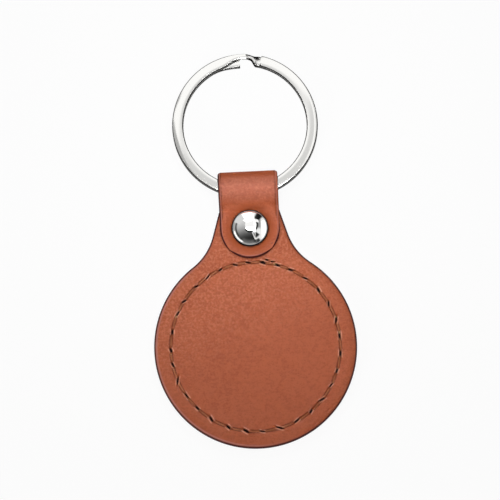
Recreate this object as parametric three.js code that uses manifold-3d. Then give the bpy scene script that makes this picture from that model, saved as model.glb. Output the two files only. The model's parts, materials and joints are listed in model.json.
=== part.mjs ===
// Leather key fob: a round stitched body, a strap folded over a split ring, and one rivet.
// Millimetres, +Z up. The fob lies on its back, front face up, with the ring towards +Y.
// The origin is on the surface it lies on, under the middle of its outline.

import * as THREE from "three";
import { mergeVertices } from "three/addons/utils/BufferGeometryUtils.js";
import Module from "manifold-3d";

const wasm = await Module();
wasm.setup();

// Leather body
const leatherThickness = 1.1;
const boardThickness = 0.8;
const glueLine = 0.1;
const discRadius = 22.15;
const boardInset = 0.4;

// Neck between the disc and the strap
const neckTaper = THREE.MathUtils.degToRad(17);
const neckFilletRadius = 12.5;
const neckPastRivet = 4.3;
const neckSetback = 0.05;

// Strap and the loop that carries the ring
const strapWidth = 13.1;
const strapSlope = THREE.MathUtils.degToRad(44);
const strapBendRadius = 1.05;
const strapFlat = 0.3;
const loopClearance = 0.2;

// Seam
const seamInset = 3.65;
const stitchLength = 3.75;
const holeShare = 0.2;
const threadDiameter = 0.6;
const threadClearance = 0.2;
const threadProud = 0.1;
const threadRecess = 0.06;
const lockGap = 0.3;
const tongueGap = 0.55;

// Rivet
const capRadius = 4;
const capHeight = 1.9;
const capWall = 0.35;
const capSink = 0.3;
const flangeRadius = 3.8;
const flangeThickness = 0.5;
const flangeRecess = 0.06;
const shankRadius = 1.5;
const shankBoreRadius = 0.9;
const shankHeadroom = 0.25;
const socketWall = 0.45;
const socketFlange = 0.35;
const rivetClearance = 0.12;
const seatClearance = 0.2;

// Split ring: angles run clockwise from the ring's far end, seen from the front
const ringRadius = 16;
const wireWidth = 2.45;
const wireThickness = 1;
const wireEdgeRadius = 0.38;
const coilGap = 0.45;
const frontEndAngle = 18;
const kinkStartAngle = 362;
const kinkEndAngle = 376;
const backEndAngle = 718;
const coilSteps = 48;

// Facets
const chordError = 0.02;
const weldDistance = 1e-4;
const rivetFacets = 28;
const threadSides = 5;
const overcut = 2;

// Layers, from the back up
const boardBase = leatherThickness + glueLine;
const boardMiddle = boardBase + boardThickness / 2;
const frontBase = boardBase + boardThickness + glueLine;
const frontFace = frontBase + leatherThickness;
const tongueBase = frontFace + glueLine;
const tongueFace = tongueBase + leatherThickness;

// Places along the fob, from the centre of the disc
const strapHalf = strapWidth / 2;
const threadRadius = threadDiameter / 2;
const seamRadius = discRadius - seamInset;
const rivetY = seamRadius + threadRadius + tongueGap + strapHalf;
const neckEnd = rivetY + neckPastRivet;
const bendY = rivetY + capRadius + strapFlat;

// The ring swings about a line through the loop. The wire inside the strap reaches from its outer
// edge, midway across, to its inner edge at the strap's sides, and the loop clears it all round.
const wireInner = ringRadius - wireWidth;
const wireAtStrapSide = Math.sqrt(wireInner ** 2 - strapHalf ** 2);
const ringReach = (ringRadius + wireAtStrapSide) / 2;
const ringHalfHeight = wireThickness + coilGap / 2;
const wireSweep = wireEdgeRadius + Math.hypot(
  (ringRadius - wireAtStrapSide) / 2 - wireEdgeRadius,
  ringHalfHeight - wireEdgeRadius,
);
const loopRadius = wireSweep + loopClearance;
const loopZ = leatherThickness + loopRadius;

// The strap leaves the loop on a slope and bends flat on the neck ahead of the rivet
const loopMiddle = loopRadius + leatherThickness / 2;
const bendMiddle = strapBendRadius + leatherThickness / 2;
const strapDrop = loopZ + loopMiddle - (tongueBase + leatherThickness / 2);
const slopeDrop = strapDrop - (loopMiddle + bendMiddle) * (1 - Math.cos(strapSlope));
const slopeLength = slopeDrop / Math.sin(strapSlope);
const loopRun = (loopMiddle + bendMiddle) * Math.sin(strapSlope) + slopeLength * Math.cos(strapSlope);
const loopY = bendY + loopRun;

// At rest the far end of the ring lies on the surface under the fob
const farReach = ringReach + ringRadius - wireEdgeRadius;
const farHalf = ringHalfHeight - wireEdgeRadius;
const ringTilt = Math.asin((loopZ - wireEdgeRadius) / Math.hypot(farReach, farHalf))
  - Math.atan2(farHalf, farReach);

// Rivet heights
const capBase = tongueFace - capSink + rivetClearance;
const domeRadius = (capRadius ** 2 + capHeight ** 2) / (2 * capHeight);
const domeCentre = capBase + capHeight - domeRadius;
const socketRadius = shankRadius + rivetClearance + socketWall;
const innerDome = domeRadius - capWall;
const socketTop = domeCentre + Math.sqrt(innerDome ** 2 - socketRadius ** 2) - rivetClearance;

const leatherLook = { color: 0xa85b41, roughness: 0.62, metalness: 0 };
const strapLook = { color: 0xb06045, roughness: 0.6, metalness: 0 };
const boardLook = { color: 0x8a8378, roughness: 0.9, metalness: 0 };
const threadLook = { color: 0x7a4426, roughness: 0.75, metalness: 0 };
const chromeLook = { color: 0xd9d9d6, roughness: 0.12, metalness: 1 };

function arc(x, y, radius, from, to) {
  const step = 2 * Math.acos(1 - chordError / radius);
  const count = Math.ceil(Math.abs(to - from) / step);
  return Array.from({ length: count + 1 }, (_, i) => {
    const angle = from + ((to - from) * i) / count;
    return new THREE.Vector2(x + radius * Math.cos(angle), y + radius * Math.sin(angle));
  });
}

function solidOf(geometry) {
  geometry.deleteAttribute("normal");
  geometry.deleteAttribute("uv");
  const merged = mergeVertices(geometry, weldDistance);
  const vertProperties = new Float32Array(merged.attributes.position.array);
  const triVerts = new Uint32Array(merged.index.array);
  return new wasm.Manifold(new wasm.Mesh({ numProp: 3, vertProperties, triVerts }));
}

function geometryOf(solid) {
  const { vertProperties, triVerts } = solid.getMesh();
  const geometry = new THREE.BufferGeometry();
  geometry.setAttribute("position", new THREE.BufferAttribute(vertProperties, 3));
  geometry.setIndex(new THREE.BufferAttribute(triVerts, 1));
  geometry.computeVertexNormals();
  return geometry;
}

function plate(points, base, top) {
  const shape = new THREE.Shape(points);
  const geometry = new THREE.ExtrudeGeometry(shape, { depth: top - base, bevelEnabled: false });
  return geometry.translate(0, 0, base);
}

// A solid of revolution about the rivet's line, from [radius, height] pairs
function turned(profile) {
  const points = profile.map(([radius, height]) => new THREE.Vector2(radius, height));
  const geometry = new THREE.LatheGeometry(points, rivetFacets);
  return geometry.rotateX(Math.PI / 2).translate(0, rivetY, 0);
}

function rivetHole(radius, base, top) {
  return solidOf(turned([[0, base], [radius, base], [radius, top], [0, top]]));
}

// A tube through rings of points, either closed on itself or with flat ends
function skin(rings, closed) {
  const sides = rings[0].length;
  const index = [];
  const spans = closed ? rings.length : rings.length - 1;
  for (let i = 0; i < spans; i += 1) {
    const here = i * sides;
    const next = ((i + 1) % rings.length) * sides;
    for (let j = 0; j < sides; j += 1) {
      const k = (j + 1) % sides;
      index.push(here + j, here + k, next + k, here + j, next + k, next + j);
    }
  }
  if (!closed) {
    const last = (rings.length - 1) * sides;
    for (let j = 1; j < sides - 1; j += 1) {
      index.push(0, j + 1, j, last, last + j, last + j + 1);
    }
  }
  const geometry = new THREE.BufferGeometry().setFromPoints(rings.flat());
  geometry.setIndex(index);
  geometry.computeVertexNormals();
  return geometry;
}

// Disc with a tapering neck, its sides faired into the disc by an arc
function bodyOutline(inset) {
  const radius = discRadius - inset;
  const fillet = neckFilletRadius + inset;
  const cornerX = strapHalf - neckSetback + inset * (Math.tan(neckTaper) - 1 / Math.cos(neckTaper));
  const corner = new THREE.Vector2(cornerX, neckEnd - inset);
  const down = new THREE.Vector2(Math.sin(neckTaper), -Math.cos(neckTaper));
  const out = new THREE.Vector2(Math.cos(neckTaper), Math.sin(neckTaper));
  const start = corner.clone().addScaledVector(out, fillet);
  const along = start.dot(down);
  const run = -along - Math.sqrt(along ** 2 - start.lengthSq() + (radius + fillet) ** 2);
  const centre = start.addScaledVector(down, run);
  const meet = centre.angle();
  return [
    ...arc(0, 0, radius, Math.PI - meet, 2 * Math.PI + meet),
    ...arc(centre.x, centre.y, fillet, Math.PI + meet, Math.PI + neckTaper).slice(1),
    corner,
    new THREE.Vector2(-corner.x, corner.y),
    ...arc(-centre.x, centre.y, fillet, -neckTaper, -meet).slice(0, -1),
  ];
}

// The strap seen from the side: back layer, loop round the ring, slope, bend and tongue
function strapProfile() {
  const outer = loopRadius + leatherThickness;
  const bendCentre = tongueFace + strapBendRadius;
  const quarter = Math.PI / 2;
  const tongueEnd = rivetY - strapHalf;
  return [
    new THREE.Vector2(rivetY, 0),
    ...arc(loopY, loopZ, outer, -quarter, quarter + strapSlope),
    ...arc(bendY, bendCentre, strapBendRadius, strapSlope - quarter, -quarter),
    new THREE.Vector2(tongueEnd, tongueFace),
    new THREE.Vector2(tongueEnd, tongueBase),
    ...arc(bendY, bendCentre, strapBendRadius + leatherThickness, -quarter, strapSlope - quarter),
    ...arc(loopY, loopZ, loopRadius, quarter + strapSlope, -quarter),
    new THREE.Vector2(rivetY, leatherThickness),
  ];
}

// The strap seen from the front: straight sides and a round tongue end about the rivet
function strapOutline(top) {
  return [
    ...arc(0, rivetY, strapHalf, -Math.PI, 0),
    new THREE.Vector2(strapHalf, top),
    new THREE.Vector2(-strapHalf, top),
  ];
}

function strapSolid() {
  const band = new THREE.ExtrudeGeometry(new THREE.Shape(strapProfile()), {
    depth: strapWidth + 2 * overcut,
    bevelEnabled: false,
  });
  const across = new THREE.Matrix4().makeBasis(
    new THREE.Vector3(0, 1, 0),
    new THREE.Vector3(0, 0, 1),
    new THREE.Vector3(1, 0, 0),
  );
  band.applyMatrix4(across).translate(-strapHalf - overcut, 0, 0);
  const apex = loopY + loopRadius + leatherThickness;
  const height = loopZ + loopRadius + leatherThickness;
  const outline = plate(strapOutline(apex + overcut), -overcut, height + overcut);
  return solidOf(band).intersect(solidOf(outline));
}

// One side of the lockstitch seam: it runs along the surface and dips into each needle hole
function seam(level, dip, radius) {
  const stitches = Math.round((2 * Math.PI * seamRadius) / stitchLength);
  const knots = [[0, 1], [holeShare, 0], [1 - holeShare, 0]];
  const spots = [];
  for (let i = 0; i < stitches; i += 1) {
    for (const [share, sink] of knots) {
      const angle = (2 * Math.PI * (i + share)) / stitches;
      spots.push(new THREE.Vector3(
        seamRadius * Math.cos(angle),
        seamRadius * Math.sin(angle),
        level - dip * sink,
      ));
    }
  }
  const rings = spots.map((spot, i) => {
    const before = spots.at(i - 1);
    const after = spots[(i + 1) % spots.length];
    const tangent = after.clone().sub(before).normalize();
    const side = new THREE.Vector3(spot.x, spot.y, 0).normalize();
    const up = tangent.clone().cross(side);
    return Array.from({ length: threadSides }, (_, j) => {
      const turn = (2 * Math.PI * j) / threadSides;
      return spot.clone()
        .addScaledVector(side, radius * Math.cos(turn))
        .addScaledVector(up, radius * Math.sin(turn));
    });
  });
  return skin(rings, true);
}

// The needle thread lies in the front and the bobbin thread in the back, and they lock in the board
const needleLevel = frontFace + threadProud - threadRadius;
const needleDip = needleLevel - (boardMiddle + lockGap / 2 + threadRadius);
const bobbinLevel = threadRecess + threadRadius;
const bobbinDip = bobbinLevel - (boardMiddle - lockGap / 2 - threadRadius);
const needleSeam = (radius) => seam(needleLevel, needleDip, radius);
const bobbinSeam = (radius) => seam(bobbinLevel, bobbinDip, radius);
const channelRadius = threadRadius + threadClearance;
const shankHole = rivetHole(shankRadius + seatClearance, -overcut, tongueFace + overcut);

function frontPanel() {
  const sheet = solidOf(plate(bodyOutline(0), frontBase, frontFace));
  return geometryOf(sheet.subtract(solidOf(needleSeam(channelRadius))).subtract(shankHole));
}

function stiffenerBoard() {
  const sheet = solidOf(plate(bodyOutline(boardInset), boardBase, boardBase + boardThickness));
  return geometryOf(
    sheet
      .subtract(solidOf(needleSeam(channelRadius)))
      .subtract(solidOf(bobbinSeam(channelRadius)))
      .subtract(shankHole),
  );
}

function backPanel() {
  const sheet = solidOf(plate(bodyOutline(0), 0, leatherThickness)).add(strapSolid());
  const flangeSeat = rivetHole(
    flangeRadius + seatClearance,
    -overcut,
    flangeRecess + flangeThickness + rivetClearance,
  );
  const capSeat = rivetHole(capRadius + seatClearance, tongueFace - capSink, tongueFace + overcut);
  return geometryOf(
    sheet
      .subtract(solidOf(bobbinSeam(channelRadius)))
      .subtract(shankHole)
      .subtract(flangeSeat)
      .subtract(capSeat),
  );
}

// Domed shell, open underneath
function rivetCap() {
  const dome = (radius) => {
    const rim = Math.asin((capBase - domeCentre) / radius);
    return arc(0, domeCentre, radius, rim, Math.PI / 2).map(({ x, y }) => [x, y]);
  };
  return turned([...dome(innerDome).reverse(), ...dome(domeRadius)]);
}

// Eyelet pressed inside the cap, which grips the shank
function rivetSocket() {
  const bore = shankRadius + rivetClearance;
  const rim = Math.sqrt(innerDome ** 2 - (capBase + socketFlange - domeCentre) ** 2) - rivetClearance;
  return turned([
    [bore, capBase],
    [rim, capBase],
    [rim, capBase + socketFlange],
    [socketRadius, capBase + socketFlange],
    [socketRadius, socketTop],
    [bore, socketTop],
    [bore, capBase],
  ]);
}

// Hollow shank with a broad flat head let into the back
function rivetPost() {
  const headTop = flangeRecess + flangeThickness;
  const shankTop = socketTop - shankHeadroom;
  return turned([
    [0, shankTop - flangeThickness],
    [shankBoreRadius, shankTop - flangeThickness],
    [shankBoreRadius, flangeRecess],
    [flangeRadius, flangeRecess],
    [flangeRadius, headTop],
    [shankRadius, headTop],
    [shankRadius, shankTop],
    [0, shankTop],
  ]);
}

// Flat wire wound in two coils: the front coil steps down through the kink into the back coil
function splitRing() {
  const rise = (wireThickness + coilGap) / 2;
  const halfWidth = wireWidth / 2 - wireEdgeRadius;
  const halfHeight = wireThickness / 2 - wireEdgeRadius;
  const section = [
    [wireWidth / 2, -halfHeight],
    [wireWidth / 2, halfHeight],
    [halfWidth, wireThickness / 2],
    [-halfWidth, wireThickness / 2],
    [-wireWidth / 2, halfHeight],
    [-wireWidth / 2, -halfHeight],
    [-halfWidth, -wireThickness / 2],
    [halfWidth, -wireThickness / 2],
  ];
  const step = 360 / coilSteps;
  const count = Math.floor((backEndAngle - frontEndAngle) / step);
  const coil = Array.from({ length: count }, (_, i) => (Math.ceil(frontEndAngle / step) + i) * step);
  const kinkShares = [0, 0.25, 0.5, 0.75, 1];
  const angles = [
    frontEndAngle,
    ...coil.filter((angle) => angle < kinkStartAngle || angle > kinkEndAngle),
    ...kinkShares.map((share) => THREE.MathUtils.lerp(kinkStartAngle, kinkEndAngle, share)),
    backEndAngle,
  ].sort((a, b) => a - b);
  const rings = angles.map((angle) => {
    const turn = THREE.MathUtils.degToRad(angle);
    const height = rise * (1 - 2 * THREE.MathUtils.smoothstep(angle, kinkStartAngle, kinkEndAngle));
    const middle = ringRadius - wireWidth / 2;
    return section.map(([across, up]) => new THREE.Vector3(
      (middle + across) * Math.sin(turn),
      (middle + across) * Math.cos(turn),
      height + up,
    ));
  });
  const gaps = rings.flatMap((ring, i) => rings
    .filter((_, j) => angles[j] - angles[i] > 180)
    .flatMap((other) => ring.map((spot) => Math.min(...other.map((point) => point.distanceTo(spot))))));
  console.log("least gap between the ring's coils", Math.min(...gaps).toFixed(3), "mm");
  return skin(rings, false);
}

function piece(name, geometry, look) {
  const mesh = new THREE.Mesh(geometry, new THREE.MeshStandardMaterial(look));
  mesh.name = name;
  return mesh;
}

const ring = piece("split_ring", splitRing(), chromeLook);
ring.position.y = ringReach;
const swing = new THREE.Group();
swing.position.set(0, loopY, loopZ);
swing.rotation.x = -ringTilt;
swing.add(ring);

const fob = new THREE.Group();
fob.add(
  piece("front_panel", frontPanel(), leatherLook),
  piece("stiffener_board", stiffenerBoard(), boardLook),
  piece("back_panel", backPanel(), strapLook),
  piece("needle_thread", needleSeam(threadRadius), threadLook),
  piece("bobbin_thread", bobbinSeam(threadRadius), threadLook),
  piece("rivet_cap", rivetCap(), chromeLook),
  piece("rivet_socket", rivetSocket(), chromeLook),
  piece("rivet_post", rivetPost(), chromeLook),
  swing,
);

const box = new THREE.Box3().setFromObject(fob, true);
fob.position.y = -(box.min.y + box.max.y) / 2;
console.log("disc centre at y", fob.position.y.toFixed(3));
console.log("rivet at y", (fob.position.y + rivetY).toFixed(3));
console.log("swing line at y", (fob.position.y + loopY).toFixed(3), "z", loopZ.toFixed(3));
console.log("ring tilt", THREE.MathUtils.radToDeg(ringTilt).toFixed(3), "degrees");

export default fob;
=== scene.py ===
import json
import math
import random

import bmesh
import bpy
from mathutils import Matrix, Vector


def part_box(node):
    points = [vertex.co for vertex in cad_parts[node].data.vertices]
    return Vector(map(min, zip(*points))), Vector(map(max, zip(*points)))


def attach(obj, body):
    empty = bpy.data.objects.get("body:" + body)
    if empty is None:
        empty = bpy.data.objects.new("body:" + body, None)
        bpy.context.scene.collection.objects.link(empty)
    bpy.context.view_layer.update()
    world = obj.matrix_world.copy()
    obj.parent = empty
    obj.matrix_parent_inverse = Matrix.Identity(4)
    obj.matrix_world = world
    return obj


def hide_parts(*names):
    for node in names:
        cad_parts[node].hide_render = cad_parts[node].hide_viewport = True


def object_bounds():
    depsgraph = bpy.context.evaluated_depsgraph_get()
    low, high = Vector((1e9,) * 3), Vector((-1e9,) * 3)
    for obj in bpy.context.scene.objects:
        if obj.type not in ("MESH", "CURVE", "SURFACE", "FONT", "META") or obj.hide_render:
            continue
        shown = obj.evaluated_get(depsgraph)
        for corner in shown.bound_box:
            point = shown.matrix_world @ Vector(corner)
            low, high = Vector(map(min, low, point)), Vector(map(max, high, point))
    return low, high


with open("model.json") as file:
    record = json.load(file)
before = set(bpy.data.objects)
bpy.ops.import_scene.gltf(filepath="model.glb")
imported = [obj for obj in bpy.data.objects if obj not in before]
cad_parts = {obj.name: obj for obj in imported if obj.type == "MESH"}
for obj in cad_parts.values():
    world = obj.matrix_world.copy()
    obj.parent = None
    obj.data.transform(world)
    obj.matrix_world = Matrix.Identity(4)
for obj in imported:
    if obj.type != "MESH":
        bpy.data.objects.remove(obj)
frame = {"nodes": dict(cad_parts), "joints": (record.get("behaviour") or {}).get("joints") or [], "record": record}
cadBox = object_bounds()
mm = 0.001  # the pieces are drawn in millimetres and scaled at the end
fullTurn = 2 * math.pi


def boxOf(node):
    low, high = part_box(node)
    return low / mm, high / mm


# places that the pieces share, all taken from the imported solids
frontLow, frontHigh = boxOf("front_panel")
boardLow, boardHigh = boxOf("stiffener_board")
capLow, capHigh = boxOf("rivet_cap")
postLow, postHigh = boxOf("rivet_post")
ringLow, ringHigh = boxOf("split_ring")
swing = Vector(frame["joints"][0]["pos_m"]) / mm
mounts = {m["name"]: Vector(m["pos_m"]) / mm for m in frame["record"]["mounts"]}
discRadius = (frontHigh.x - frontLow.x) / 2
capRadius = (capHigh.x - capLow.x) / 2
headRadius = (postHigh.x - postLow.x) / 2
ringRadius = (ringHigh.x - ringLow.x) / 2
discY = frontLow.y + discRadius
neckTop = frontHigh.y - discY  # lengths along the fob count from the disc's middle
rivetY = (capLow.y + capHigh.y) / 2 - discY
hide = frontHigh.z - frontLow.z  # thickness of one leather
glueLine = boardLow.z - hide
print("frame: disc", round(discRadius, 2), "mm, leather", round(hide, 2), "mm")


# shader maths: a Wire is one socket, and sums on it add the nodes
class Wire:
    def __init__(self, tree, socket):
        self.tree = tree
        self.socket = socket

    def add(self, kind, settings, sockets, out=0):
        node = self.tree.nodes.new(kind)
        for name, value in settings.items():
            setattr(node, name, value)
        self.feed(node, sockets)
        return Wire(self.tree, node.outputs[out])

    def feed(self, node, sockets):
        for name, value in sockets.items():
            if isinstance(value, Wire):
                self.tree.links.new(value.socket, node.inputs[name])
            else:
                node.inputs[name].default_value = value

    def sum(self, operation, *values):
        return self.add("ShaderNodeMath", {"operation": operation}, dict(enumerate(values)))

    def __add__(self, other):
        return self.sum("ADD", self, other)

    def __sub__(self, other):
        return self.sum("SUBTRACT", self, other)

    def __rsub__(self, other):
        return self.sum("SUBTRACT", other, self)

    def __mul__(self, other):
        return self.sum("MULTIPLY", self, other)

    __radd__ = __add__
    __rmul__ = __mul__

    def fit(self, low, high, start=0.0, end=1.0):
        spans = {"Value": self, "From Min": low, "From Max": high, "To Min": start, "To Max": end}
        return self.add("ShaderNodeMapRange", {"interpolation_type": "SMOOTHSTEP"}, spans)

    def paint(self, below, above):
        return self.add("ShaderNodeMix", {"data_type": "RGBA"}, {0: self, 6: below, 7: above}, out=2)

    def noise(self, scale, detail=2.0, rough=0.5, warp=0.0):
        sockets = {"Vector": self, "Scale": scale, "Detail": detail, "Roughness": rough}
        sockets["Distortion"] = warp
        return self.add("ShaderNodeTexNoise", {}, sockets)

    def cells(self, scale, softness):
        sockets = {"Vector": self, "Scale": scale, "Smoothness": softness}
        return self.add("ShaderNodeTexVoronoi", {"feature": "SMOOTH_F1"}, sockets)

    def stretched(self, x, y, z):
        return self.add("ShaderNodeMapping", {}, {"Vector": self, "Scale": (x, y, z)})

    def bump(self, strength, depth):
        sockets = {"Height": self, "Strength": strength, "Distance": depth}
        return self.add("ShaderNodeBump", {}, sockets)

    def mark(self, name):
        return self.add("ShaderNodeAttribute", {"attribute_name": name}, {}, out=2)


def newFinish(name):
    finish = bpy.data.materials.new(name)
    finish.use_nodes = True
    tree = finish.node_tree
    place = Wire(tree, tree.nodes.new("ShaderNodeTexCoord").outputs["Object"])
    return finish, tree.nodes["Principled BSDF"], place


tan = dict(
    light=(0.470, 0.104, 0.036, 1),
    deep=(0.372, 0.076, 0.0245, 1),
    pressed=(0.40, 0.072, 0.013, 1),  # leather squeezed round the rivet and at the fold: darker, partly its own tone and partly painted shade where no sheen falls
    grainHighlight=(0.63, 0.19, 0.085, 1),  # painted highlight on the raised grain, towards the upper left and over the bend
    seamShade=(0.14, 0.031, 0.0105, 1),  # painted shade along each side of the seam's thread
    lip=(0.92, 0.43, 0.27, 1),  # painted highlight on the puckered sides of the needle holes
    paleSheen=(0.56, 0.22, 0.18, 1),  # painted highlight at the cut edge, most on the left, and painted sheen over the bend
    edge=(0.055, 0.008, 0.006, 1),  # painted cut edge
    # painted shade down in the needle holes and round the cap's foot
    pitShade=(0.005, 0.002, 0.0015, 1),
    clouds=95.0,  # scales of the pattern, per metre
    fibres=900.0,
    fibreStretch=2.2,
    grain=2300.0,
    pores=800.0,
    flecks=1900.0,
    shares=dict(clouds=0.14, fibres=0.3, creases=0.36, pebble=0.2),  # of the tone
    pressedShare=0.85,
    roughness=0.46,
    creaseRough=0.14,
    pitRough=0.4,
    pressedRough=0.2,
    rimRough=0.45,
    gloss=0.2,
    relief=dict(pebble=0.5, creases=0.7),
    bump=(0.45, 0.00022),
)


def leatherFinish():
    finish, shader, place = newFinish("tan_leather")
    clouds = place.noise(tan["clouds"], detail=3.0)
    fibres = place.stretched(1.0, tan["fibreStretch"], 1.0)
    fibres = fibres.noise(tan["fibres"], detail=4.0, rough=0.62)
    pebble = place.cells(tan["grain"], softness=0.6)
    creases = place.noise(tan["pores"], detail=5.0, rough=0.62, warp=0.7)
    flecks = place.noise(tan["flecks"], detail=1.0)
    rim = place.mark("rim")
    shares = tan["shares"]
    tone = clouds.fit(0.3, 0.7) * shares["clouds"] + fibres.fit(0.25, 0.75) * shares["fibres"]
    tone = tone + creases.fit(0.3, 0.7) * shares["creases"]
    tone = tone + pebble.fit(0.1, 0.6) * shares["pebble"]
    colour = tone.fit(0.22, 0.78).paint(tan["deep"], tan["light"])
    layers = dict(
        # painted highlight on the grain
        grainHighlight=flecks.fit(0.42, 0.68) * place.mark("grain"),
        # darker round the cap and on the fold: partly squeezed leather, partly painted shade
        pressed=place.mark("pressed") * tan["pressedShare"],
        # painted shade along the seam, beside the thread
        seamShade=place.mark("seam") * creases.fit(0.3, 0.6, 0.5, 1.0),
        # painted highlight on the puckered sides of the holes
        lip=place.mark("lip") * creases.fit(0.35, 0.6, 0.25, 1.0),
        # painted highlight at the cut edge and painted sheen over the bend
        paleSheen=place.mark("paintedSheen"),
        edge=rim.fit(0.07, 0.31),
        # painted shade in the needle holes and round the cap
        pitShade=place.mark("pitShade"),
    )
    for layer, mask in layers.items():
        colour = mask.paint(colour, tan[layer])
    relief = pebble * tan["relief"]["pebble"] + creases * tan["relief"]["creases"]
    rough = tan["roughness"] + creases.fit(0.3, 0.7) * tan["creaseRough"]
    rough = rough + place.mark("pitShade") * tan["pitRough"]
    rough = rough + place.mark("pressed") * tan["pressedRough"] + rim * tan["rimRough"]
    place.feed(shader, {
        "Base Color": colour,
        "Roughness": rough,
        "Normal": relief.bump(*tan["bump"]),
        "Specular IOR Level": tan["gloss"],
    })
    return finish


cotton = dict(
    light=(0.56, 0.195, 0.08, 1),
    dark=(0.33, 0.095, 0.032, 1),
    lock=(0.82, 0.56, 0.24, 1),  # paler under thread, pulled up beside some holes
    sunkShade=(0.010, 0.004, 0.003, 1),  # painted shade where the thread dips into the needle holes
    strands=5200.0,
    shades=420.0,
    roughness=(0.5, 0.75),
    gloss=0.15,
    bump=(0.3, 0.00005),
)


def threadFinish():
    finish, shader, place = newFinish("twisted_thread")
    strands = place.noise(cotton["strands"], detail=3.0, rough=0.7)
    shades = place.noise(cotton["shades"])
    tone = strands.fit(0.3, 0.7) * 0.5 + shades.fit(0.35, 0.65) * 0.5
    colour = tone.paint(cotton["dark"], cotton["light"])
    # painted shade where the thread sinks into the holes
    colour = place.mark("sunkShade").paint(colour, cotton["sunkShade"])
    place.feed(shader, {
        "Base Color": place.mark("lock").paint(colour, cotton["lock"]),
        "Roughness": strands.fit(0.2, 0.8, *cotton["roughness"]),
        "Normal": strands.bump(*cotton["bump"]),
        "Specular IOR Level": cotton["gloss"],
    })
    return finish


chrome = dict(colour=(0.93, 0.925, 0.91, 1), worn=(0.82, 0.815, 0.80, 1), roughness=0.05)
steel = dict(colour=(0.65, 0.645, 0.628, 1), worn=(0.57, 0.565, 0.55, 1), roughness=0.09)
plating = dict(
    haze=260.0,
    scuffs=1500.0,
    scuffStretch=9.0,
    wornRough=0.12,
    side=(0.009, 0.0085, 0.008, 1),  # painted reflection: cut and rolled sides are painted dark
    sideRough=0.8,
    bump=(0.04, 0.00002),
)


def platingFinish(name, look):
    finish, shader, place = newFinish(name)
    haze = place.noise(plating["haze"], detail=4.0)
    scuffs = place.stretched(1.0, plating["scuffStretch"], 1.0)
    scuffs = scuffs.noise(plating["scuffs"], detail=3.0, rough=0.7)
    worn = haze.fit(0.5, 0.75) * scuffs.fit(0.55, 0.75)
    side = place.mark("side")
    colour = worn.paint(look["colour"], look["worn"])
    rough = look["roughness"] + worn * plating["wornRough"] + side * plating["sideRough"]
    place.feed(shader, {
        # painted reflection: the side mark darkens edges
        "Base Color": side.paint(colour, plating["side"]),
        "Roughness": rough,
        "Metallic": 1.0,
        "Normal": scuffs.bump(*plating["bump"]),
    })
    return finish


fibreboard = dict(
    light=(0.20, 0.105, 0.072, 1),
    dark=(0.10, 0.045, 0.032, 1),
    fibres=1400.0,
    fibreStretch=6.0,
    roughness=(0.7, 0.9),
    bump=(0.3, 0.0001),
)


def boardFinish():
    finish, shader, place = newFinish("fibre_board")
    fibres = place.stretched(1.0, 1.0, fibreboard["fibreStretch"])
    fibres = fibres.noise(fibreboard["fibres"], detail=4.0, rough=0.65)
    place.feed(shader, {
        "Base Color": fibres.fit(0.3, 0.7).paint(fibreboard["dark"], fibreboard["light"]),
        "Roughness": fibres.fit(0.2, 0.8, *fibreboard["roughness"]),
        "Normal": fibres.bump(*fibreboard["bump"]),
    })
    return finish


leather = leatherFinish()
thread = threadFinish()
rivetPlating = platingFinish("rivet_chrome", chrome)
ringPlating = platingFinish("ring_steel", steel)
board = boardFinish()
print("finishes: leather, thread, plating, board")


def addObject(name, data):
    thing = bpy.data.objects.new(name, data)
    bpy.context.scene.collection.objects.link(thing)
    return thing


def meshOf(shape, name):
    mesh = bpy.data.meshes.new(name)
    shape.to_mesh(mesh)
    shape.free()
    return mesh


def makePiece(shape, name, body, finish, nodes, sharp=40):
    bmesh.ops.scale(shape, vec=(mm, mm, mm), verts=shape.verts)
    makeObject(meshOf(shape, name), name, body, finish, nodes, sharp)


def makeObject(mesh, name, body, finish, nodes, sharp):
    mesh.materials.clear()
    mesh.materials.append(finish)
    mesh.shade_smooth()
    mesh.set_sharp_from_angle(angle=math.radians(sharp))
    piece = addObject(name, mesh)
    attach(piece, body)
    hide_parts(*nodes)
    print("piece:", name, len(mesh.polygons), "faces")


def smoothStep(low, high, value):
    share = min(max((value - low) / (high - low), 0.0), 1.0)
    return share * share * (3 - 2 * share)


def within(low, high, soft, value):
    starts = smoothStep(low - soft, low + soft, value)
    return starts * (1 - smoothStep(high - soft, high + soft, value))


def bell(value, width):
    return math.exp(-(value / width) ** 2)


def spread(low, high, count):
    return [low + (high - low) * i / count for i in range(count + 1)]


def turnOf(point):
    return math.atan2(point.x, point.y)


def flatGrid(size, cuts=(1, 1)):
    shape = bmesh.new()
    bmesh.ops.create_grid(shape, x_segments=cuts[0], y_segments=cuts[1], size=0.5)
    bmesh.ops.scale(shape, vec=(*size, 1), verts=shape.verts)
    return shape


def moveAll(shape, shift):
    bmesh.ops.translate(shape, vec=shift, verts=shape.verts)


def turnAll(shape, turn):
    bmesh.ops.rotate(shape, cent=(0, 0, 0), matrix=turn, verts=shape.verts)


def facesOut(shape):
    bmesh.ops.recalc_face_normals(shape, faces=shape.faces)


def roundOff(shape, geometry, offset, segments, affect="EDGES"):
    bmesh.ops.bevel(
        shape,
        geom=geometry,
        offset=offset,
        offset_type="OFFSET",
        affect=affect,
        segments=segments,
        profile=0.5,
        material=-1,
    )


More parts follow.
